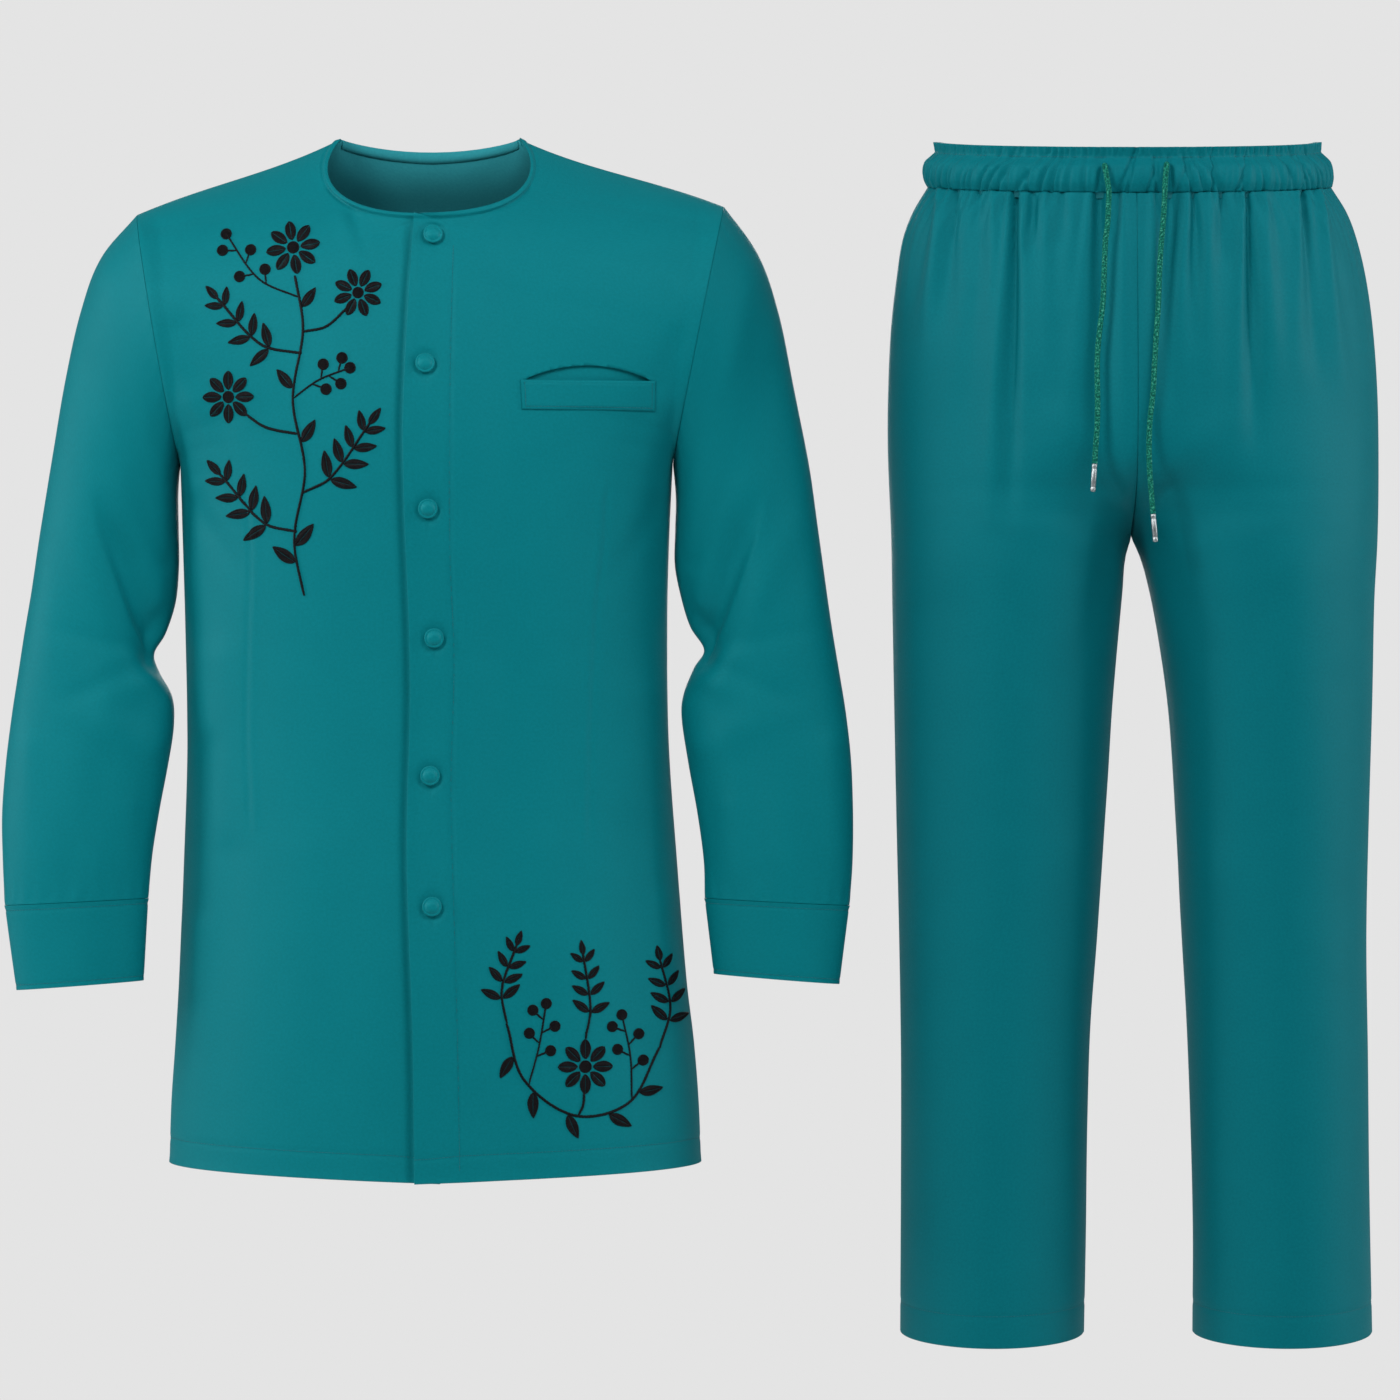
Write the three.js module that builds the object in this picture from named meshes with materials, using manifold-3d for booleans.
// Shirt and trousers set: a long collarless button shirt with long sleeves, and
// pull-on trousers with a gathered waist. Both keep the hollow form that a
// wearer gives them.
//
// Millimetres, +Z up. The fronts face -Y and the wearer's left is +X. The side
// seams lie in the plane y = 0. The origin is midway between the shirt's
// shoulder points.

import * as THREE from "three";
import Module from "manifold-3d";
import { mergeVertices } from "three/addons/utils/BufferGeometryUtils.js";

const wasm = await Module();
wasm.setup();

// Cloth and seams

const CLOTH = 2; // the wall of every panel
const SEAM_GAP = 0.3; // between two pieces at a seam
const HALF_GAP = SEAM_GAP / 2;
const LAY_GAP = 0.5; // between a piece and the panel it lies on
const TAPE = 1.2; // thickness of the narrow facing and the pocket cloth

const SHIRT_COLOUR = 0x0b7785;
const INNER_COLOUR = 0x17595f;
const TROUSER_COLOUR = 0x056f7a;
const CORD_COLOUR = 0x2f8f7c;
const METAL_COLOUR = 0xc4c8ca;

const FRONT = -1;
const BACK = 1;
const SIGN = { right: -1, left: 1 }; // the wearer's sides along X

// Shirt sizes

// The side seams from the armpit to the hem, x at each height
const SHIRT_SIDES = [
  { z: -235, right: -207, left: 201.5 },
  { z: -300, right: -205, left: 198.5 },
  { z: -365, right: -203, left: 197 },
  { z: -465, right: -201, left: 198 },
  { z: -565, right: -204, left: 205 },
  { z: -664, right: -208, left: 213 },
  { z: -714, right: -211, left: 219 },
  { z: -764, right: -214.5, left: 223 },
  { z: -814, right: -216, left: 225 },
];

// How far the middle of the front and of the back stand from the side seams
const SHIRT_DEPTH = [
  { z: 34, front: 62, back: 50 },
  { z: 0, front: 72, back: 72 },
  { z: -32, front: 80, back: 88 },
  { z: -100, front: 101, back: 104 },
  { z: -180, front: 114, back: 109 },
  { z: -250, front: 117, back: 105 },
  { z: -340, front: 111, back: 93 },
  { z: -450, front: 106, back: 88 },
  { z: -560, front: 108, back: 100 },
  { z: -660, front: 112, back: 109 },
  { z: -830, front: 114, back: 108 },
];

const SHIRT_HEM = -814; // at the side seams
const FRONT_HEM = -827;
const BACK_HEM = -822;
const BACK_NECK = { z: 30, y: 50 };
const NECK = { halfWidth: 84, pointAngle: 118, frontY: -80, pitZ: -32, pointZ: 34 };
const NECK_POINT_X = NECK.halfWidth * Math.sin(THREE.MathUtils.degToRad(NECK.pointAngle));
const NECK_RISE_POWER = 1.2; // how late the neckline climbs

const ARMHOLE = {
  right: { tipX: -242.5, tipZ: -29, pitX: -207, pitZ: -235 },
  left: { tipX: 244, tipZ: -22.5, pitX: 201.5, pitZ: -235 },
};
const ARMHOLE_DEPTH = 66;

// Along a shirt panel, v runs from the hem to the shoulder
const V_ARMPIT = 0.62;
const V_NECK = 0.86;
const CENTRE_AT_ARMPIT = -228;

// How round a row of the panel is: 1 turns a quarter ellipse, 0 is straight
const ROUNDNESS = [
  { v: 0, round: 1 },
  { v: V_ARMPIT, round: 1 },
  { v: 0.72, round: 0.8 },
  { v: V_NECK, round: 0.4 },
  { v: 1, round: 0 },
];

const FRONT_ROWS = [
  0, 0.05, 0.1, 0.16, 0.22, 0.28, 0.34, 0.4, 0.46, 0.52, 0.57, 0.62,
  0.66, 0.7, 0.74, 0.78, 0.82, 0.86, 0.873, 0.9, 0.93, 0.965, 1,
];
const FRONT_COLUMNS = 13;
const BACK_ROWS = [
  0, 0.05, 0.1, 0.16, 0.22, 0.28, 0.34, 0.4, 0.46, 0.52, 0.57, 0.62,
  0.66, 0.7, 0.75, 0.8, 0.845, 0.885, 0.92, 0.95, 0.975, 1,
];
const U_NECK = 0.31; // share of a back half-row that the neck takes
const BACK_COLUMNS = [0, 0.0775, 0.155, 0.2325, 0.31, 0.4, 0.5, 0.6, 0.72, 0.86, 1];
const SHOULDER_DIP = { near: 8, far: 4 }; // the shoulder line's soft S

// The front edges: the wearer's left front laps over the right
const LAP = { underEdge: 12, lift: 4.2, flatTo: 22, doneBy: 70 };
const OVER_EDGE_WAVE = [
  { z: -827, x: -9 },
  { z: -710, x: -10.5 },
  { z: -555, x: -15.5 },
  { z: -415, x: -12.7 },
  { z: -266, x: -17.5 },
  { z: -190, x: -18.2 },
  { z: -32, x: -10.5 },
];

// A sleeve's rings from the shoulder to the cuff: its outer and inner edge in
// the front view, half its depth, and how far it swings forward
const SLEEVES = {
  right: [
    { outX: -242.5, outZ: -29, inX: -207, inZ: -235, depth: 66, y: 0 },
    { outX: -273, outZ: -65, inX: -209.2, inZ: -262, depth: 57, y: 0 },
    { outX: -290, outZ: -110, inX: -209, inZ: -291, depth: 50, y: 0 },
    { outX: -302, outZ: -166, inX: -208.6, inZ: -320, depth: 45, y: -1 },
    { outX: -314, outZ: -232, inX: -211, inZ: -350, depth: 42, y: -3 },
    { outX: -322, outZ: -286, inX: -219, inZ: -376, depth: 40, y: -5 },
    { outX: -329, outZ: -336, inX: -228, inZ: -393, depth: 38, y: -8 },
    { outX: -335.5, outZ: -375, inX: -224, inZ: -408, depth: 37, y: -11 },
    { outX: -341, outZ: -412, inX: -213.5, inZ: -429, depth: 37, y: -14 },
    { outX: -346, outZ: -445, inX: -212, inZ: -452, depth: 36, y: -17 },
    { outX: -350.5, outZ: -483, inX: -216, inZ: -483, depth: 35, y: -21 },
    { outX: -353, outZ: -525, inX: -223, inZ: -524, depth: 33, y: -26 },
    { outX: -352, outZ: -563, inX: -229, inZ: -562, depth: 31, y: -30 },
    { outX: -350, outZ: -601, inX: -231.5, inZ: -595, depth: 27, y: -34 },
  ],
  left: [
    { outX: 244, outZ: -22.5, inX: 201.5, inZ: -235, depth: 66, y: 0 },
    { outX: 274, outZ: -64, inX: 203.6, inZ: -262, depth: 57, y: 0 },
    { outX: 289, outZ: -110, inX: 203, inZ: -291, depth: 50, y: 0 },
    { outX: 300.5, outZ: -166, inX: 202.8, inZ: -320, depth: 45, y: -1 },
    { outX: 313, outZ: -232, inX: 208.5, inZ: -348, depth: 42, y: -3 },
    { outX: 320.5, outZ: -286, inX: 216, inZ: -371, depth: 40, y: -5 },
    { outX: 328, outZ: -336, inX: 227.5, inZ: -390, depth: 38, y: -8 },
    { outX: 334, outZ: -375, inX: 219, inZ: -405, depth: 37, y: -11 },
    { outX: 340, outZ: -412, inX: 210, inZ: -427, depth: 37, y: -14 },
    { outX: 345, outZ: -445, inX: 208.5, inZ: -447, depth: 36, y: -17 },
    { outX: 349, outZ: -483, inX: 214, inZ: -483, depth: 35, y: -21 },
    { outX: 350.5, outZ: -525, inX: 221.5, inZ: -524, depth: 33, y: -26 },
    { outX: 350, outZ: -563, inX: 226.5, inZ: -562, depth: 31, y: -30 },
    { outX: 347.5, outZ: -601, inX: 228, inZ: -595, depth: 27, y: -34 },
  ],
};
const SLEEVE_ROWS = 17;
const SLEEVE_AROUND = 22;

// A cuff's lower edge in the front view
const CUFF_ENDS = {
  right: { outX: -340, outZ: -671, inX: -235, inZ: -663, depth: 23, y: -38 },
  left: { outX: 339.5, outZ: -666, inX: 235.5, inZ: -657.5, depth: 23, y: -38 },
};
const CUFF_ROWS = 3;

// Buttons down the front, from the neck
const BUTTONS = [
  { x: 5.2, z: -50 },
  { x: -0.5, z: -156.5 },
  { x: 2, z: -275.5 },
  { x: 6.9, z: -381 },
  { x: 3.6, z: -493.5 },
  { x: 5.2, z: -600.5 },
];
const BUTTON_SEGMENTS = 12;

// A button's domed side, turned round its middle: radius and height
const BUTTON_SIDE = [
  { radius: 0, height: 0 },
  { radius: 6.4, height: 0 },
  { radius: 8, height: 1.2 },
  { radius: 7.4, height: 2.4 },
  { radius: 6.2, height: 2.1 },
  { radius: 4, height: 4.1 },
  { radius: 0, height: 4.6 },
];

const WELT = { left: 77, right: 188, top: -169.5, bottom: -194, inset: 1.5 };
const MOUTH_GAPE = 11; // how far the pocket's mouth stands open
const MOUTH_ENDS = 3; // short of the welt's ends
const BAG = { margin: 4, above: 8, below: 12, gap: 1 };
const FACING = { from: 0.985, to: 0.9995, half: 0.2325 }; // along v, and half its width along u

// Trouser sizes, x measured from the trousers' own middle

const TROUSER_X = 582;

// The side seams, x at each height
const TROUSER_SIDES = [
  { z: -6, right: -169, left: 166 },
  { z: -27, right: -181.5, left: 179 },
  { z: -50, right: -190, left: 187.5 },
  { z: -83, right: -195, left: 195 },
  { z: -125, right: -199.5, left: 200.5 },
  { z: -175, right: -201.7, left: 204 },
  { z: -225, right: -202, left: 205 },
  { z: -297, right: -199.2, left: 204 },
  { z: -350, right: -198.4, left: 201 },
  { z: -430, right: -197, left: 199.6 },
  { z: -530, right: -195, left: 197 },
  { z: -630, right: -192.6, left: 195 },
  { z: -730, right: -191, left: 196.3 },
  { z: -830, right: -191, left: 197.5 },
  { z: -955, right: -191.7, left: 200 },
];

// The inseams below the crotch
const INSEAMS = [
  { z: -297, right: 0, left: 0 },
  { z: -315, right: -5, left: 8 },
  { z: -340, right: -7, left: 15 },
  { z: -390, right: -11.6, left: 24 },
  { z: -440, right: -15.8, left: 30.7 },
  { z: -500, right: -19.5, left: 35 },
  { z: -630, right: -29, left: 42 },
  { z: -700, right: -34.5, left: 46 },
  { z: -780, right: -36.5, left: 49 },
  { z: -870, right: -37.4, left: 51 },
  { z: -955, right: -39, left: 50.6 },
];

// How far the front and the back of hip and leg stand from the seams
const TROUSER_DEPTH = [
  { z: -6, front: 92, back: 92 },
  { z: -50, front: 101, back: 106 },
  { z: -125, front: 110, back: 123 },
  { z: -200, front: 112, back: 128 },
  { z: -297, front: 100, back: 110 },
  { z: -360, front: 94, back: 101 },
  { z: -460, front: 87, back: 92 },
  { z: -600, front: 79, back: 81 },
  { z: -750, front: 73, back: 74 },
  { z: -955, front: 67, back: 69 },
];

const CROTCH = -297;
const CROTCH_RISE = { front: 85, back: 120 }; // height of the crotch curve
const WAIST = -6;
const TROUSER_HEM = -955;
const DIP = { waist: 10, hem: 10, fade: 190 }; // the front drops below the sides
const TROUSER_ROWS = [
  -955, -860, -765, -670, -580, -490, -410, -355, -320, -297, -284, -270,
  -252, -230, -200, -165, -130, -98, -72, -50, -32, -18, -6,
];
const GATHERED_ABOVE = -110;
const TROUSER_COLUMNS = { gathered: 21, plain: 13 };

// The gathered waistband with its header, rims at each height
const BAND = [
  { z: 31.5, right: -161.9, left: 155.5, depth: 90, rib: 2 },
  { z: 23.2, right: -163, left: 157.5, depth: 90, rib: 0.5 },
  { z: 15, right: -169.5, left: 163.5, depth: 94, rib: 2 },
  { z: 3, right: -171, left: 166, depth: 95, rib: 2 },
  { z: -5.7, right: -169, left: 166, depth: 92.5, rib: 0.8 },
];
const RIBS = 106;
const RIB_STRAY = 0.22; // how uneven the ribs' spacing is, as a share of a rib
const BAND_INSIDE = 40; // points round the plain inside
const BAND_INSIDE_ROWS = [0, 2, 4]; // its rows in the table above

const CORD = { diameter: 4.5, sides: 8 };
const AGLET = { length: 23, radius: 2.2, tip: 1.5, taper: 1, sides: 10 };

// Each free end of the drawcord from its eyelet down, x from the trousers' middle
const CORDS = {
  right: [
    { x: -26.6, y: -94.4, z: 6 },
    { x: -26.5, y: -97.6, z: 5.6 },
    { x: -26.2, y: -100, z: 3 },
    { x: -25.4, y: -101.8, z: -3 },
    { x: -23.7, y: -104, z: -14 },
    { x: -24, y: -106, z: -28 },
    { x: -24.8, y: -108.3, z: -42 },
    { x: -26.6, y: -110.2, z: -56 },
    { x: -27.8, y: -112.8, z: -80 },
    { x: -28.8, y: -115, z: -105 },
    { x: -31.4, y: -116.8, z: -127 },
    { x: -33.5, y: -118, z: -148 },
    { x: -33.8, y: -118.8, z: -168 },
    { x: -33.5, y: -119, z: -188 },
    { x: -33.9, y: -119, z: -208 },
    { x: -35, y: -118.8, z: -224 },
    { x: -35.9, y: -118.5, z: -238.5 },
  ],
  left: [
    { x: 24.2, y: -94, z: 7 },
    { x: 24.1, y: -97.2, z: 6.7 },
    { x: 23.8, y: -100, z: 4.2 },
    { x: 23, y: -101.8, z: -2 },
    { x: 22.2, y: -104, z: -13 },
    { x: 21.6, y: -106, z: -27 },
    { x: 20.5, y: -108.3, z: -42 },
    { x: 18.6, y: -110.8, z: -62 },
    { x: 17.1, y: -113.6, z: -86 },
    { x: 16.2, y: -115.6, z: -110 },
    { x: 14.4, y: -117.6, z: -134 },
    { x: 13, y: -118.7, z: -158 },
    { x: 11.6, y: -119.2, z: -182 },
    { x: 9, y: -119.3, z: -206 },
    { x: 8.5, y: -119.2, z: -230 },
    { x: 9.6, y: -118.8, z: -254 },
    { x: 11.8, y: -118.4, z: -279.5 },
  ],
};

// Folds, each a line in the front view: half its width, and its rise from the
// panel, which is a trough where it is negative. The face is front or back.
const SHIRT_FOLDS = [
  { face: FRONT, x0: -186, z0: -470, x1: -197, z1: -600, width: 13, rise: -3 },
  { face: FRONT, x0: -176, z0: -400, x1: -190, z1: -780, width: 20, rise: 2.5 },
  { face: FRONT, x0: 178, z0: -430, x1: 192, z1: -770, width: 20, rise: 2.5 },
  { face: FRONT, x0: -196, z0: -190, x1: -168, z1: -290, width: 14, rise: 2.5 },
  { face: FRONT, x0: 192, z0: -190, x1: 166, z1: -290, width: 14, rise: 2.5 },
  { face: BACK, x0: -190, z0: -180, x1: -150, z1: -300, width: 16, rise: 3 },
  { face: BACK, x0: 186, z0: -180, x1: 148, z1: -300, width: 16, rise: 3 },
  { face: BACK, x0: -70, z0: -420, x1: -95, z1: -780, width: 26, rise: 3 },
  { face: BACK, x0: 85, z0: -430, x1: 110, z1: -790, width: 26, rise: 3 },
  { face: BACK, x0: 5, z0: -480, x1: 12, z1: -800, width: 30, rise: -3 },
];
const SLEEVE_FOLDS = [
  { face: FRONT, x0: 232, z0: -398, x1: 292, z1: -300, width: 10, rise: -5 },
  { face: FRONT, x0: 232, z0: -418, x1: 312, z1: -318, width: 15, rise: 5 },
  { face: FRONT, x0: 222, z0: -350, x1: 258, z1: -260, width: 14, rise: 3 },
  { face: FRONT, x0: 228, z0: -470, x1: 300, z1: -440, width: 16, rise: 2.5 },
  { face: BACK, x0: 230, z0: -392, x1: 300, z1: -350, width: 12, rise: -4 },
  { face: BACK, x0: 226, z0: -420, x1: 310, z1: -390, width: 14, rise: 3 },
  { face: BACK, x0: 226, z0: -330, x1: 280, z1: -290, width: 13, rise: 3 },
];
const TROUSER_FOLDS = [
  { face: FRONT, x0: -150, z0: -12, x1: -176, z1: -110, width: 9, rise: 3 },
  { face: FRONT, x0: -122, z0: -12, x1: -132, z1: -90, width: 8, rise: 2.5 },
  { face: FRONT, x0: -90, z0: -12, x1: -97, z1: -200, width: 10, rise: 4.5 },
  { face: FRONT, x0: -55, z0: -12, x1: -58, z1: -110, width: 9, rise: 3 },
  { face: FRONT, x0: 52, z0: -12, x1: 50, z1: -150, width: 9, rise: 3.5 },
  { face: FRONT, x0: 93, z0: -12, x1: 108, z1: -130, width: 10, rise: 4 },
  { face: FRONT, x0: 128, z0: -12, x1: 146, z1: -110, width: 9, rise: 3 },
  { face: FRONT, x0: 149, z0: -14, x1: 176, z1: -90, width: 8, rise: 3 },
  { face: FRONT, x0: -12, z0: -240, x1: -62, z1: -200, width: 14, rise: 3 },
  { face: FRONT, x0: 12, z0: -250, x1: 70, z1: -205, width: 14, rise: 3 },
  { face: BACK, x0: -140, z0: -12, x1: -160, z1: -110, width: 9, rise: 3 },
  { face: BACK, x0: -96, z0: -12, x1: -106, z1: -150, width: 10, rise: 4 },
  { face: BACK, x0: -56, z0: -12, x1: -60, z1: -100, width: 9, rise: 3.5 },
  { face: BACK, x0: 44, z0: -12, x1: 46, z1: -120, width: 9, rise: 3.5 },
  { face: BACK, x0: 88, z0: -12, x1: 98, z1: -150, width: 10, rise: 4 },
  { face: BACK, x0: 130, z0: -12, x1: 152, z1: -100, width: 9, rise: 3 },
  { face: BACK, x0: -20, z0: -255, x1: -110, z1: -310, width: 16, rise: -4 },
  { face: BACK, x0: 20, z0: -255, x1: 112, z1: -312, width: 16, rise: -4 },
];

// Reading tables and shaping numbers

const point = (x, y, z) => new THREE.Vector3(x, y, z);
const lerp = THREE.MathUtils.lerp;
const clamp01 = (value) => THREE.MathUtils.clamp(value, 0, 1);
const smooth = (from, to, value) => THREE.MathUtils.smoothstep(value, from, to);
const ALONG_Y = point(0, 1, 0);
const ALONG_X = point(1, 0, 0);
const ALONG_Z = point(0, 0, 1);

// The value of one column at any value of the key column, on a smooth curve
function along(table, key, column, at) {
  const last = table.length - 1;
  const order = Math.sign(table[last][key] - table[0][key]);
  let i = 0;
  while (i < last - 1 && order * (at - table[i + 1][key]) > 0) {
    i += 1;
  }
  const slope = (j) => {
    const a = table[Math.max(j - 1, 0)];
    const b = table[Math.min(j + 1, last)];
    return (b[column] - a[column]) / (b[key] - a[key]);
  };
  const a = table[i];
  const b = table[i + 1];
  const span = b[key] - a[key];
  const s = clamp01((at - a[key]) / span);
  const bend = slope(i) * span * s * (1 - s) ** 2 - slope(i + 1) * span * (1 - s) * s ** 2;
  return lerp(a[column], b[column], s * s * (3 - 2 * s)) + bend;
}

function bezier(a, b, c, d, t) {
  return new THREE.CubicBezierCurve3(a, b, c, d).getPoint(t);
}

// Rise of the folds at a point of a panel that faces the front or the back
function foldRise(folds, face, x, z) {
  let rise = 0;
  for (const fold of folds.filter((row) => row.face === face)) {
    const dx = fold.x1 - fold.x0;
    const dz = fold.z1 - fold.z0;
    const share = ((x - fold.x0) * dx + (z - fold.z0) * dz) / (dx * dx + dz * dz);
    const nearest = clamp01(share);
    const away = Math.hypot(x - fold.x0 - nearest * dx, z - fold.z0 - nearest * dz);
    const fade = 1 - 0.75 * nearest;
    rise += fold.rise * fade * Math.exp(-((away / fold.width) ** 2));
  }
  return rise;
}

// Building a closed wall of cloth

// Triangles between two rows of points, which may differ in number
function joinRows(faces, a, b, closed) {
  const stepsA = closed ? a.length : a.length - 1;
  const stepsB = closed ? b.length : b.length - 1;
  let i = 0;
  let j = 0;
  while (i < stepsA || j < stepsB) {
    const nextA = (i + 1) / stepsA;
    const nextB = (j + 1) / stepsB;
    const here = a[i % a.length];
    const there = b[j % b.length];
    if (j >= stepsB || (i < stepsA && nextA <= nextB + 1e-9)) {
      faces.push(here, a[(i + 1) % a.length], there);
      i += 1;
    } else {
      faces.push(here, b[(j + 1) % b.length], there);
      j += 1;
    }
  }
}

function signedVolume(positions, faces) {
  const [a, b, c] = [point(), point(), point()];
  let sum = 0;
  for (let i = 0; i < faces.length; i += 3) {
    a.fromArray(positions, 3 * faces[i]);
    b.fromArray(positions, 3 * faces[i + 1]);
    c.fromArray(positions, 3 * faces[i + 2]);
    sum += a.dot(b.cross(c)) / 6;
  }
  return sum;
}

// Adds rows of points to the positions and returns their numbers
function numbered(positions, rows) {
  return rows.map((row) =>
    row.map((p) => {
      positions.push(p.x, p.y, p.z);
      return positions.length / 3 - 1;
    }),
  );
}

// A geometry with its faces turned outward
function closedGeometry(positions, faces) {
  if (signedVolume(positions, faces) < 0) {
    faces.reverse();
  }
  const geometry = new THREE.BufferGeometry();
  geometry.setAttribute("position", new THREE.Float32BufferAttribute(positions, 3));
  geometry.setIndex(faces);
  return geometry;
}

// A geometry from the rows of a wall's outer and inner points
function wallGeometry(outer, inner, closed) {
  const positions = [];
  const out = numbered(positions, outer);
  const back = numbered(positions, inner);
  const faces = [];
  for (let r = 0; r + 1 < out.length; r += 1) {
    joinRows(faces, out[r], out[r + 1], closed);
  }
  for (let r = 0; r + 1 < back.length; r += 1) {
    joinRows(faces, back[r + 1], back[r], closed);
  }
  joinRows(faces, back[0], out[0], closed);
  joinRows(faces, out.at(-1), back.at(-1), closed);
  if (!closed) {
    joinRows(faces, out.map((row) => row[0]), back.map((row) => row[0]), false);
    joinRows(faces, back.map((row) => row.at(-1)), out.map((row) => row.at(-1)), false);
  }
  return closedGeometry(positions, faces);
}

// A rod from its rings, with a flat end at each
function rodGeometry(rings) {
  const positions = [];
  const rows = numbered(positions, rings);
  const faces = [];
  for (let r = 0; r + 1 < rows.length; r += 1) {
    joinRows(faces, rows[r], rows[r + 1], true);
  }
  const [first, last] = [rows[0], rows.at(-1)];
  for (let i = 1; i + 1 < first.length; i += 1) {
    faces.push(first[0], first[i + 1], first[i], last[0], last[i], last[i + 1]);
  }
  return closedGeometry(positions, faces);
}

// The direction that a surface faces at (u, v). At a seam it is turned so that
// the wall's inner edge doesn't cross the seam's plane.
function facing(surface, u, v) {
  const step = 1e-3;
  const [u0, u1] = surface.closed ? [u - step, u + step] : [Math.max(u - step, 0), Math.min(u + step, 1)];
  const [v0, v1] = [Math.max(v - step, 0), Math.min(v + step, 1)];
  const across = surface.at(u1, v).sub(surface.at(u0, v));
  const up = surface.at(u, v1).sub(surface.at(u, v0));
  const normal = across.cross(up).normalize().multiplyScalar(surface.turn);
  for (const plane of surface.seams(u, v)) {
    const crossing = normal.dot(plane);
    if (crossing < 0) {
      normal.addScaledVector(plane, -crossing).normalize();
    }
  }
  return normal;
}

// A point of the surface moved out along its facing, with its folds. The inside
// of a gathered stretch stays plain.
function raised(surface, u, v, by) {
  const base = surface.at(u, v);
  const normal = facing(surface, u, v);
  const rise = surface.rise(u, v, base);
  const plain = by < 0 && surface.gathered?.(v);
  return base.addScaledVector(normal, by + (plain ? Math.min(rise, 0) : rise));
}

const evenly = (count, closed) =>
  Array.from({ length: count }, (_, i) => i / (closed ? count : count - 1));

// A wall over a surface: rows at given v, with the columns of each row
function clothOver(surface, rows, outerColumns, innerColumns = outerColumns) {
  const outer = rows.map((v) => outerColumns(v).map((u) => raised(surface, u, v, 0)));
  const inner = rows.map((v) => innerColumns(v).map((u) => raised(surface, u, v, -CLOTH)));
  return wallGeometry(outer, inner, surface.closed);
}

// Shirt surfaces

// The armhole loop, from the shoulder tip at 0 to the armpit at PI
function armholePoint(side, face, angle) {
  const { tipX, tipZ, pitX, pitZ } = ARMHOLE[side];
  const share = (1 - Math.cos(angle)) / 2;
  const y = face * (HALF_GAP + ARMHOLE_DEPTH * Math.sin(angle));
  return point(lerp(tipX, pitX, share), y, lerp(tipZ, pitZ, share));
}

// The direction square to the armhole's plane, away from the body
function armholeOut(side) {
  const { tipX, tipZ, pitX, pitZ } = ARMHOLE[side];
  return point(tipZ - pitZ, 0, pitX - tipX).normalize().multiplyScalar(SIGN[side]);
}

function shirtOuterEdge(side, face, v) {
  if (v <= V_ARMPIT) {
    const z = lerp(SHIRT_HEM, ARMHOLE[side].pitZ, v / V_ARMPIT);
    return point(along(SHIRT_SIDES, "z", side, z), face * HALF_GAP, z);
  }
  return armholePoint(side, face, Math.PI * (1 - (v - V_ARMPIT) / (1 - V_ARMPIT)));
}

// The neckline of one front from the edge of its lap to the neck point
function frontNeckline(side, startX, share) {
  const start = Math.asin((startX * SIGN[side]) / NECK.halfWidth);
  const end = THREE.MathUtils.degToRad(NECK.pointAngle);
  const angle = lerp(start, end, share);
  const climb = (1 - Math.cos(angle)) / (1 - Math.cos(end));
  const y = lerp(NECK.frontY, -HALF_GAP, climb);
  const z = lerp(NECK.pitZ, NECK.pointZ, climb ** NECK_RISE_POWER);
  return point(SIGN[side] * NECK.halfWidth * Math.sin(angle), y, z);
}

// A half-row from the middle to the side: round near the body's middle height
// and straight along the shoulder
function halfRow(inner, outer, v, u) {
  const round = along(ROUNDNESS, "v", "round", v);
  const d = outer.clone().sub(inner);
  const straightA = inner.clone().addScaledVector(d, 1 / 3);
  const straightB = outer.clone().addScaledVector(d, -1 / 3);
  straightA.y -= (d.y / 3) * (1 - smooth(V_NECK, 1, v)); // level across the middle
  const dip = 1 - smooth(0, 0.6, round);
  straightA.z -= SHOULDER_DIP.near * dip;
  straightB.z += SHOULDER_DIP.far * dip;
  const roundA = inner.clone().add(point(0.55 * d.x, 0, d.z / 3));
  const roundB = outer.clone().sub(point(0, 0.55 * d.y, d.z / 3));
  return bezier(inner, straightA.lerp(roundA, round), straightB.lerp(roundB, round), outer, u);
}

function centreHeight(hem, v, top, vTop) {
  return v < V_ARMPIT
    ? lerp(hem, CENTRE_AT_ARMPIT, v / V_ARMPIT)
    : lerp(CENTRE_AT_ARMPIT, top, (v - V_ARMPIT) / (vTop - V_ARMPIT));
}

function shirtSeams(side, face) {
  const armhole = armholeOut(side);
  const faceOut = ALONG_Y.clone().multiplyScalar(-face);
  return (atSide, v) => {
    const seams = [];
    if (v === 1 || (atSide && v <= V_ARMPIT)) {
      seams.push(faceOut);
    }
    if (atSide && v >= V_ARMPIT) {
      seams.push(armhole);
    }
    return seams;
  };
}

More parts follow.
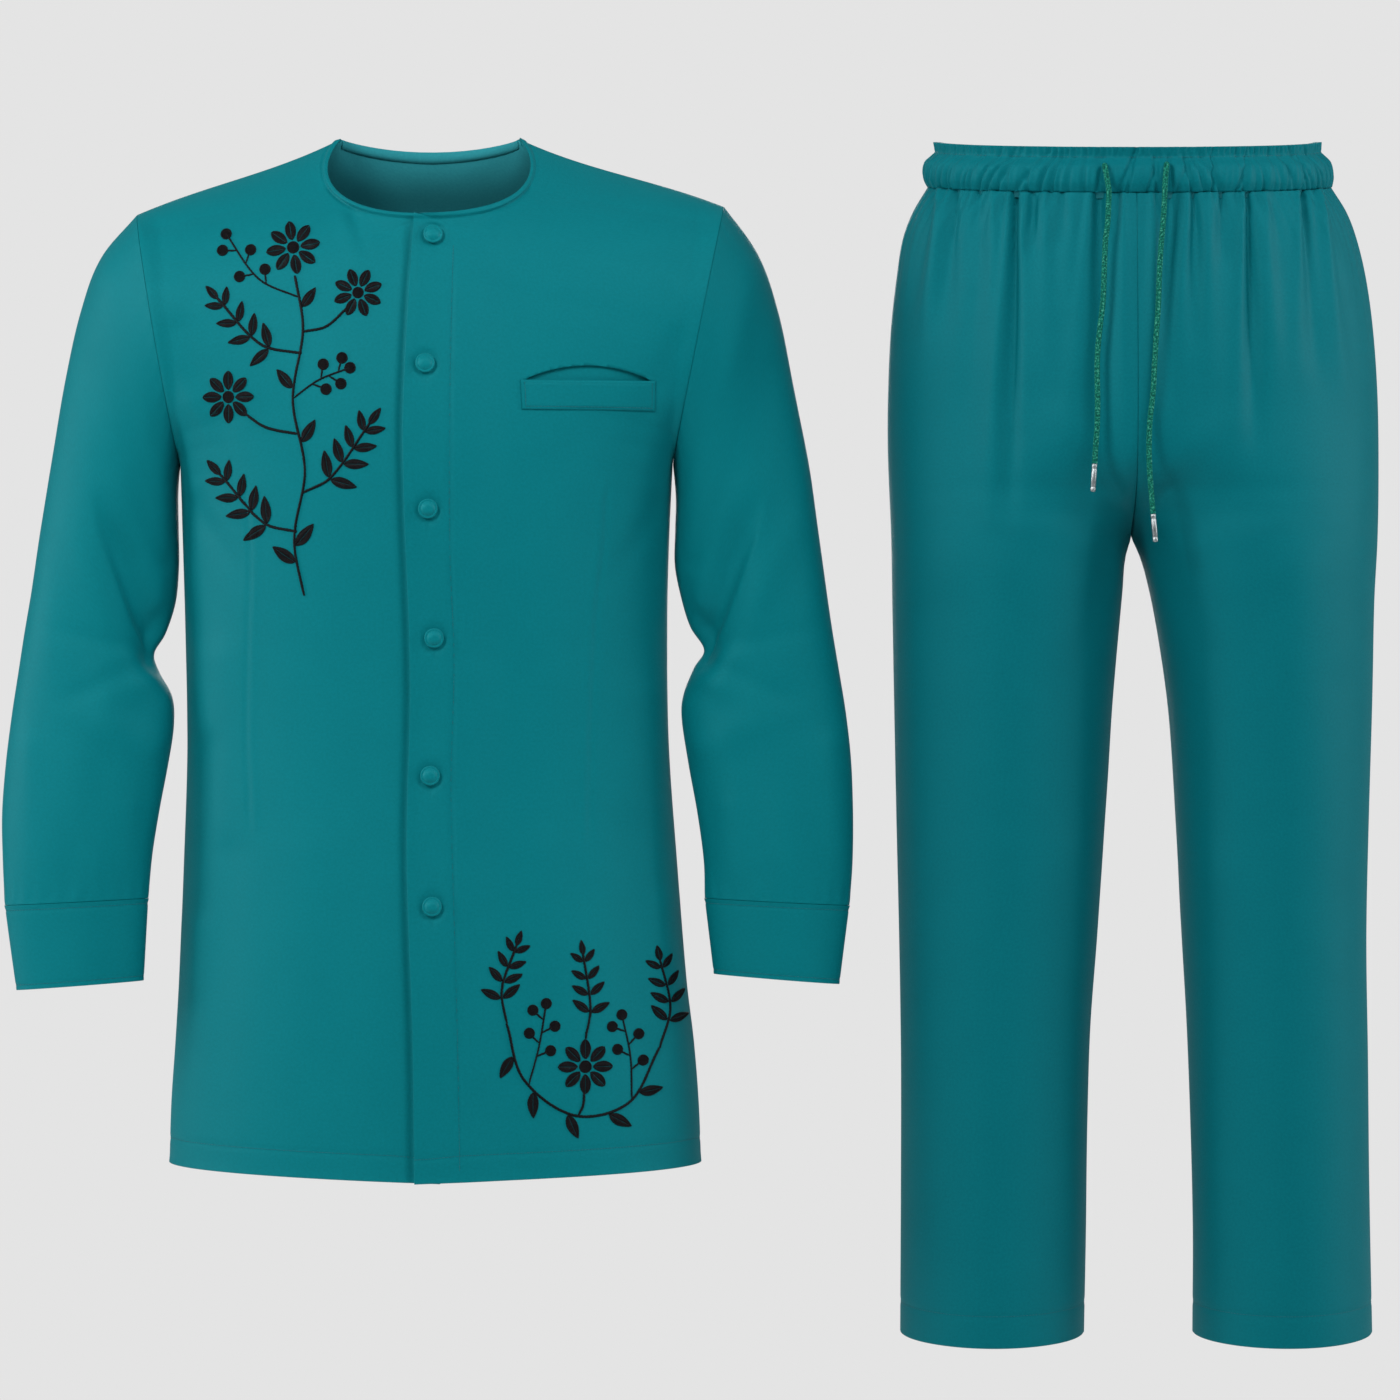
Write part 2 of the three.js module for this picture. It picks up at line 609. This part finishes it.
function shirtFront(side) {
  const over = side === "left";
  const seams = shirtSeams(side, FRONT);
  return {
    closed: false,
    turn: SIGN[side],
    at(u, v) {
      const outer = shirtOuterEdge(side, FRONT, v);
      let inner;
      if (v < V_NECK) {
        const z = centreHeight(FRONT_HEM, v, NECK.pitZ, V_NECK);
        const x = over ? along(OVER_EDGE_WAVE, "z", "x", z) : LAP.underEdge;
        inner = point(x, -along(SHIRT_DEPTH, "z", "front", z), z);
      } else {
        const start = over ? OVER_EDGE_WAVE.at(-1).x : LAP.underEdge;
        inner = frontNeckline(side, start, (v - V_NECK) / (1 - V_NECK));
      }
      const p = halfRow(inner, outer, v, u);
      if (over) {
        p.y -= LAP.lift * (1 - smooth(LAP.flatTo, LAP.doneBy, p.x));
      }
      return p;
    },
    seams: (u, v) => seams(u === 1, v),
    rise: (u, v, p) => foldRise(SHIRT_FOLDS, FRONT, p.x, p.z) * (1 - u ** 6) * (1 - smooth(0.9, 1, v)),
  };
}

// The back's top edge: the neckline, then the shoulder seam
function backTop(side, u) {
  const sign = SIGN[side];
  if (u <= U_NECK) {
    const angle = (u / U_NECK) * (Math.PI / 2);
    const y = lerp(HALF_GAP, BACK_NECK.y, Math.cos(angle));
    const z = lerp(NECK.pointZ, BACK_NECK.z, Math.cos(angle));
    return point(sign * NECK_POINT_X * Math.sin(angle), y, z);
  }
  const neck = point(sign * NECK_POINT_X, HALF_GAP, NECK.pointZ);
  return halfRow(neck, armholePoint(side, BACK, 0), 1, (u - U_NECK) / (1 - U_NECK));
}

const shirtBackNeck = point(0, BACK_NECK.y, BACK_NECK.z);
const shirtBack = {
  closed: false,
  turn: -1,
  at(u, v) {
    const side = u < 0.5 ? "right" : "left";
    const half = Math.abs(2 * u - 1);
    const z = centreHeight(BACK_HEM, v, BACK_NECK.z, 1);
    const inner = point(0, along(SHIRT_DEPTH, "z", "back", z), z);
    inner.y = lerp(inner.y, BACK_NECK.y, smooth(0.9, 1, v));
    const row = halfRow(inner, shirtOuterEdge(side, BACK, v), v, half);
    const top = halfRow(shirtBackNeck, armholePoint(side, BACK, 0), 1, half);
    return row.addScaledVector(backTop(side, half).sub(top), smooth(0.75, 1, v));
  },
  seams(u, v) {
    const side = u < 0.5 ? "right" : "left";
    return shirtSeams(side, BACK)(u === 0 || u === 1, v).filter(
      (plane) => plane.y === 0 || v < 1 || Math.abs(2 * u - 1) >= U_NECK,
    );
  },
  rise: (u, v, p) =>
    foldRise(SHIRT_FOLDS, BACK, p.x, p.z) * (1 - Math.abs(2 * u - 1) ** 6) * (1 - smooth(0.85, 1, v)),
};

// A ring's point from its edges in the front view and its half depth
function ringPoint(ring, angle) {
  const share = (1 - Math.cos(angle)) / 2;
  return point(
    lerp(ring.outX, ring.inX, share),
    ring.y - ring.depth * Math.sin(angle),
    lerp(ring.outZ, ring.inZ, share),
  );
}

const backColumns = () => [
  ...BACK_COLUMNS.slice(1).reverse().map((half) => (1 - half) / 2),
  ...BACK_COLUMNS.map((half) => (1 + half) / 2),
];

function ringOf(side, v) {
  const table = SLEEVES[side].map((row, step) => ({ ...row, step }));
  const read = (column) => along(table, "step", column, v * (table.length - 1));
  return {
    outX: read("outX"),
    outZ: read("outZ"),
    inX: read("inX"),
    inZ: read("inZ"),
    depth: read("depth"),
    y: read("y"),
  };
}

function sleeve(side) {
  const sign = SIGN[side];
  const toBody = armholeOut(side).negate();
  const last = SLEEVES[side].at(-1);
  const toCuff = point(last.inZ - last.outZ, 0, last.outX - last.inX).normalize();
  toCuff.multiplyScalar(-Math.sign(toCuff.z));
  return {
    closed: true,
    turn: -sign,
    at(u, v) {
      const p = ringPoint(ringOf(side, v), 2 * Math.PI * u);
      return p.addScaledVector(toBody, -SEAM_GAP * (1 - smooth(0, 0.08, v)));
    },
    seams: (u, v) => (v === 0 ? [toBody] : v === 1 ? [toCuff] : []),
    rise(u, v, p) {
      const front = Math.sin(2 * Math.PI * u);
      const face = front > 0 ? FRONT : BACK;
      const weight = smooth(0.1, 0.6, Math.abs(front)) * smooth(0.02, 0.15, v) * (1 - smooth(0.85, 1, v));
      return foldRise(SLEEVE_FOLDS, face, Math.abs(p.x), p.z) * weight;
    },
  };
}

function cuff(side) {
  const top = SLEEVES[side].at(-1);
  const end = CUFF_ENDS[side];
  const toSleeve = point(top.outZ - top.inZ, 0, top.inX - top.outX).normalize();
  toSleeve.multiplyScalar(Math.sign(toSleeve.z));
  return {
    closed: true,
    turn: -SIGN[side],
    at(u, v) {
      const ring = Object.fromEntries(Object.keys(end).map((key) => [key, lerp(top[key], end[key], v)]));
      return ringPoint(ring, 2 * Math.PI * u).addScaledVector(toSleeve, -SEAM_GAP * (1 - v));
    },
    seams: (u, v) => (v === 0 ? [toSleeve] : []),
    rise: () => 0,
  };
}

// Trouser surfaces

// One panel's point: u runs from the centre seam or inseam to the side seam
function trouserPoint(side, face, u, z) {
  const sign = SIGN[side];
  const faceName = face === FRONT ? "front" : "back";
  const width = Math.abs(along(TROUSER_SIDES, "z", side, z)) - HALF_GAP;
  const depth = along(TROUSER_DEPTH, "z", faceName, z);
  const inside = z < CROTCH ? Math.abs(along(INSEAMS, "z", side, z)) : 0;
  const k = clamp01(1 - (z - CROTCH) / CROTCH_RISE[faceName]);
  const middle = z < CROTCH ? (width + inside) / 2 : (width * k) / (1 + k);
  const half = z < CROTCH ? (width - inside) / 2 : width / (1 + k);
  const angle = lerp(z < CROTCH ? Math.PI : Math.acos(-k), 0, u);
  const round = Math.sin(angle);
  const waistDip = DIP.waist * smooth(WAIST - DIP.fade, WAIST, z);
  const hemDip = DIP.hem * (1 - smooth(TROUSER_HEM, TROUSER_HEM + DIP.fade, z));
  const dip = face === FRONT ? waistDip + hemDip : 0;
  return point(
    TROUSER_X + sign * (HALF_GAP + middle + half * Math.cos(angle)),
    face * (HALF_GAP + depth * round),
    z - dip * round,
  );
}

function trouserPanel(side, face) {
  const up = (v) => lerp(TROUSER_HEM, WAIST, v);
  const faceOut = ALONG_Y.clone().multiplyScalar(-face);
  const middleOut = ALONG_X.clone().multiplyScalar(-SIGN[side]);
  return {
    closed: false,
    turn: -SIGN[side] * face,
    at: (u, v) => trouserPoint(side, face, u, up(v)),
    gathered: (v) => up(v) > GATHERED_ABOVE,
    seams(u, v) {
      const seams = v === 1 ? [ALONG_Z, ALONG_Z.clone().negate()] : [];
      if (u === 1 || (u === 0 && up(v) <= CROTCH + 1e-6)) {
        seams.push(faceOut);
      }
      if (u === 0 && up(v) >= CROTCH - 1e-6) {
        seams.push(middleOut);
      }
      return seams;
    },
    rise(u, v, p) {
      const edge = smooth(0, 0.12, u) * (1 - smooth(0.9, 1, u)) * (1 - smooth(0.985, 1, v) * 0.5);
      return foldRise(TROUSER_FOLDS, face, p.x - TROUSER_X, p.z) * edge;
    },
  };
}

function bandPoint(row, angle) {
  const x = Math.cos(angle);
  const y = -Math.sin(angle);
  const side = x < 0 ? "right" : "left";
  const dip = y < 0 ? DIP.waist * -y : 0;
  return point(TROUSER_X + Math.abs(row[side]) * x, row.depth * y, row.z - dip);
}

function waistband() {
  const angles = (count) => Array.from({ length: count }, (_, i) => (2 * Math.PI * i) / count);
  const outer = BAND.map((row) =>
    angles(2 * RIBS).map((angle, i) => {
      const stray = (RIB_STRAY * Math.PI * Math.sin(2.7 * i + Math.sin(1.3 * i))) / RIBS;
      const p = bandPoint(row, angle + stray);
      const out = point(p.x - TROUSER_X, p.y, 0).normalize();
      return p.addScaledVector(out, i % 2 ? row.rib : 0);
    }),
  );
  const inner = BAND_INSIDE_ROWS.map((row) =>
    angles(BAND_INSIDE).map((angle) => {
      const p = bandPoint(BAND[row], angle);
      const out = point(p.x - TROUSER_X, p.y, 0).normalize();
      return p.addScaledVector(out, -CLOTH);
    }),
  );
  return wallGeometry(outer, inner, true);
}

// Small pieces that lie on a panel

// The surface's (u, v) at a place given in the front view
function findOn(surface, x, z, guess) {
  let [u, v] = guess;
  const step = 1e-4;
  for (let turn = 0; turn < 20; turn += 1) {
    const here = surface.at(u, v);
    const du = surface.at(u + step, v).sub(here).divideScalar(step);
    const dv = surface.at(u, v + step).sub(here).divideScalar(step);
    const [ex, ez] = [x - here.x, z - here.z];
    const area = du.x * dv.z - dv.x * du.z;
    u = THREE.MathUtils.clamp(u + (ex * dv.z - dv.x * ez) / area, 0, 0.999);
    v = THREE.MathUtils.clamp(v + (du.x * ez - ex * du.z) / area, 0, 0.999);
  }
  return [u, v];
}

// A patch of a panel between four edges of the front view, moved out or in
function patchOn(surface, edges, columns, rows, outerBy, innerBy) {
  const grid = (by) =>
    evenly(rows).map((down) =>
      evenly(columns).map((across) => {
        const x = lerp(edges.left, edges.right, across) + edges.inset * down * (1 - 2 * across);
        const z = lerp(edges.top, edges.bottom, down);
        const [u, v] = findOn(surface, x, z, [0.5, 0.7]);
        return raised(surface, u, v, by);
      }),
    );
  return wallGeometry(grid(outerBy), grid(innerBy), false);
}

function button(surface, { x, z }) {
  const side = BUTTON_SIDE.map((row) => new THREE.Vector2(row.radius, row.height));
  const geometry = mergedPositions(new THREE.LatheGeometry(side, BUTTON_SEGMENTS));
  const [u, v] = findOn(surface, x, z, [0.1, 0.6]);
  const out = facing(surface, u, v);
  const seat = raised(surface, u, v, LAY_GAP);
  geometry.applyQuaternion(new THREE.Quaternion().setFromUnitVectors(ALONG_Y, out));
  return geometry.translate(seat.x, seat.y, seat.z);
}

function mergedPositions(geometry) {
  geometry.deleteAttribute("normal");
  geometry.deleteAttribute("uv");
  return mergeVertices(geometry, 1e-4);
}

function toSolid(geometry) {
  const merged = mergedPositions(geometry);
  const vertProperties = new Float32Array(merged.attributes.position.array);
  const triVerts = new Uint32Array(merged.index.array);
  return new wasm.Manifold(new wasm.Mesh({ numProp: 3, vertProperties, triVerts }));
}

function toGeometry(solid) {
  const { vertProperties, triVerts } = solid.getMesh();
  const geometry = new THREE.BufferGeometry();
  geometry.setAttribute("position", new THREE.BufferAttribute(new Float32Array(vertProperties), 3));
  geometry.setIndex(new THREE.BufferAttribute(new Uint32Array(triVerts), 1));
  return geometry;
}

// The lens that the pocket's mouth gapes open to, cut through the front
function pocketMouth() {
  const left = WELT.left + MOUTH_ENDS;
  const right = WELT.right - MOUTH_ENDS;
  const middle = (left + right) / 2;
  const shape = new THREE.Shape();
  shape.moveTo(left, WELT.top - 1);
  shape.lineTo(right, WELT.top - 1);
  shape.quadraticCurveTo(middle, WELT.top + 2 * MOUTH_GAPE - 1, left, WELT.top - 1);
  const prism = new THREE.ExtrudeGeometry(shape, { depth: 160, bevelEnabled: false, curveSegments: 8 });
  return prism.rotateX(Math.PI / 2);
}

// The neck facing: a strip inside the back neckline, from side to side
function neckFacing() {
  const columns = backColumns().filter((u) => Math.abs(2 * u - 1) <= FACING.half + 1e-6);
  const grid = (by) =>
    [FACING.from, FACING.to].map((v) => columns.map((u) => raised(shirtBack, u, v, by)));
  return wallGeometry(grid(-CLOTH - LAY_GAP), grid(-CLOTH - LAY_GAP - TAPE), false);
}

// Drawcord ends and their metal tips

function cordCurve(side) {
  return new THREE.CatmullRomCurve3(CORDS[side].map((p) => point(TROUSER_X + p.x, p.y, p.z)));
}

// A round cord with a ring at each point of its route
function drawcord(side) {
  const path = cordCurve(side);
  const last = CORDS[side].length - 1;
  const rings = CORDS[side].map((_, i) => {
    const middle = path.getPoint(i / last);
    const down = path.getTangent(i / last);
    const across = ALONG_X.clone().addScaledVector(down, -down.x).normalize();
    const out = down.clone().cross(across);
    return evenly(CORD.sides, true).map((turn) => {
      const angle = 2 * Math.PI * turn;
      const p = middle.clone().addScaledVector(across, (CORD.diameter / 2) * Math.cos(angle));
      return p.addScaledVector(out, (CORD.diameter / 2) * Math.sin(angle));
    });
  });
  return rodGeometry(rings);
}

function aglet(side) {
  const path = cordCurve(side);
  const end = path.getPoint(1);
  const down = path.getTangent(1);
  const { length, radius, tip, taper, sides } = AGLET;
  const profile = [
    new THREE.Vector2(0, 0),
    new THREE.Vector2(radius, 0),
    new THREE.Vector2(radius, length - taper),
    new THREE.Vector2(tip, length),
    new THREE.Vector2(0, length),
  ];
  const geometry = new THREE.LatheGeometry(profile, sides);
  geometry.applyQuaternion(new THREE.Quaternion().setFromUnitVectors(ALONG_Y, down));
  const start = end.addScaledVector(down, SEAM_GAP);
  return geometry.translate(start.x, start.y, start.z);
}

// Putting the set together

const set = new THREE.Group();

function add(name, geometry, color, roughness = 0.85, metalness = 0) {
  const material = new THREE.MeshStandardMaterial({ color, roughness, metalness });
  const mesh = new THREE.Mesh(geometry, material);
  mesh.name = name;
  set.add(mesh);
}

const fronts = { left: shirtFront("left"), right: shirtFront("right") };
const frontColumns = () => evenly(FRONT_COLUMNS);
const roundColumns = () => evenly(SLEEVE_AROUND, true);
const frontWalls = Object.fromEntries(
  Object.entries(fronts).map(([side, surface]) => [side, clothOver(surface, FRONT_ROWS, frontColumns)]),
);
const cutFront = toSolid(frontWalls.left).subtract(toSolid(pocketMouth()));
add("shirt_front_left", toGeometry(cutFront), SHIRT_COLOUR);
add("shirt_front_right", frontWalls.right, SHIRT_COLOUR);
add("shirt_back", clothOver(shirtBack, BACK_ROWS, backColumns), SHIRT_COLOUR);
add("back_neck_facing", neckFacing(), INNER_COLOUR);

for (const side of ["left", "right"]) {
  add(`sleeve_${side}`, clothOver(sleeve(side), evenly(SLEEVE_ROWS), roundColumns), SHIRT_COLOUR);
  add(`cuff_${side}`, clothOver(cuff(side), evenly(CUFF_ROWS), roundColumns), SHIRT_COLOUR);
}

add("pocket_welt", patchOn(fronts.left, WELT, 10, 3, LAY_GAP + TAPE, LAY_GAP), SHIRT_COLOUR);
const bagEdges = {
  left: WELT.left - BAG.margin,
  right: WELT.right + BAG.margin,
  top: WELT.top + MOUTH_GAPE + BAG.above,
  bottom: WELT.bottom - BAG.below,
  inset: 0,
};
const bagDepth = CLOTH + BAG.gap;
add("pocket_bag", patchOn(fronts.left, bagEdges, 10, 4, -bagDepth, -bagDepth - TAPE), INNER_COLOUR);

BUTTONS.forEach((place, i) => {
  add(`button_${i + 1}`, button(fronts.left, place), SHIRT_COLOUR, 0.8);
});

const trouserRows = TROUSER_ROWS.map((z) => (z - TROUSER_HEM) / (WAIST - TROUSER_HEM));
const gatherV = (GATHERED_ABOVE - TROUSER_HEM) / (WAIST - TROUSER_HEM);
const plainColumns = () => evenly(TROUSER_COLUMNS.plain);
const gatheredColumns = (v) => (v > gatherV ? evenly(TROUSER_COLUMNS.gathered) : plainColumns());
for (const side of ["left", "right"]) {
  for (const [name, face] of [["front", FRONT], ["back", BACK]]) {
    const panel = trouserPanel(side, face);
    const wall = clothOver(panel, trouserRows, gatheredColumns, plainColumns);
    add(`trouser_${name}_${side}`, wall, TROUSER_COLOUR);
  }
}
add("waistband", waistband(), TROUSER_COLOUR);

for (const side of ["left", "right"]) {
  add(`drawcord_${side}`, drawcord(side), CORD_COLOUR, 0.9);
  add(`aglet_${side}`, aglet(side), METAL_COLOUR, 0.3, 1);
}

export default set;
